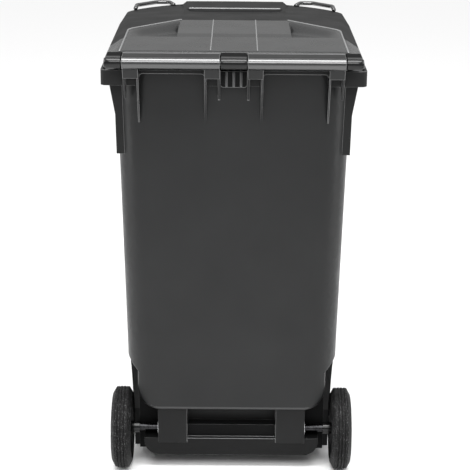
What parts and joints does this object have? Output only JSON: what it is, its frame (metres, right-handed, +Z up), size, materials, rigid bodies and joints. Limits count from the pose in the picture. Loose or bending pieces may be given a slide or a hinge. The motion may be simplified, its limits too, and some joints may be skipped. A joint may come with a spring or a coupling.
{
  "type": "wheelie bin",
  "caption": "Two-wheeled refuse bin with a hinged lid, rear handles and rubber-tyred wheels on an axle.",
  "frame": {"origin": "on the floor, under the middle of the bin's outline", "axes": "+Z up, +Y from the handles to the front, +X across"},
  "size_m": [0.604, 0.88, 1.0555],
  "materials": {
    "bin_plastic": "satin moulded polyethylene",
    "lid_plastic": "satin moulded polyethylene",
    "rod_plastic": "smooth moulded plastic",
    "axle_steel": "dark coated steel",
    "zinc": "zinc plated",
    "spring_steel": "spring wire",
    "tyre": "solid rubber",
    "wheel_plastic": "moulded plastic"
  },
  "bodies": {
    "tub": {"tub": "bin_plastic", "axle": "axle_steel", "axle_washer_left": "zinc", "axle_washer_right": "zinc", "axle_spacer_left": "rod_plastic", "axle_spacer_right": "rod_plastic", "hinge_rod_left": "rod_plastic", "hinge_rod_right": "rod_plastic"},
    "lid": {"lid": "lid_plastic"},
    "wheel_left": {"tyre_left": "tyre", "wheel_centre_left": "wheel_plastic", "hub_bush_left": "wheel_plastic", "hub_cap_left": "wheel_plastic", "lock_spring_left": "spring_steel"},
    "wheel_right": {"tyre_right": "tyre", "wheel_centre_right": "wheel_plastic", "hub_bush_right": "wheel_plastic", "hub_cap_right": "wheel_plastic", "lock_spring_right": "spring_steel"},
    "lock_pin_left": {"lock_pin_left": "zinc"},
    "lock_pin_right": {"lock_pin_right": "zinc"}
  },
  "joints": [
    {"name": "lid_hinge", "type": "hinge", "parent": "tub", "child": "lid", "pos_m": [0, -0.425, 1.036], "axis": [1, 0, 0], "range_deg": [0, 260]},
    {"name": "wheel_spin_left", "type": "hinge", "parent": "tub", "child": "wheel_left", "pos_m": [-0.2685, -0.31, 0.1], "axis": [1, 0, 0], "continuous": true},
    {"name": "wheel_spin_right", "type": "hinge", "parent": "tub", "child": "wheel_right", "pos_m": [0.2685, -0.31, 0.1], "axis": [1, 0, 0], "continuous": true},
    {"name": "lock_pin_slide_left", "type": "slide", "parent": "wheel_left", "child": "lock_pin_left", "axis": [0, 0, 1], "range_m": [0, 0.0025], "stiffness_N_per_m": 800, "springref_m": -0.002, "deforming": ["lock_spring_left"]},
    {"name": "lock_pin_slide_right", "type": "slide", "parent": "wheel_right", "child": "lock_pin_right", "axis": [0, 0, 1], "range_m": [0, 0.0025], "stiffness_N_per_m": 800, "springref_m": -0.002, "deforming": ["lock_spring_right"]}
  ]
}
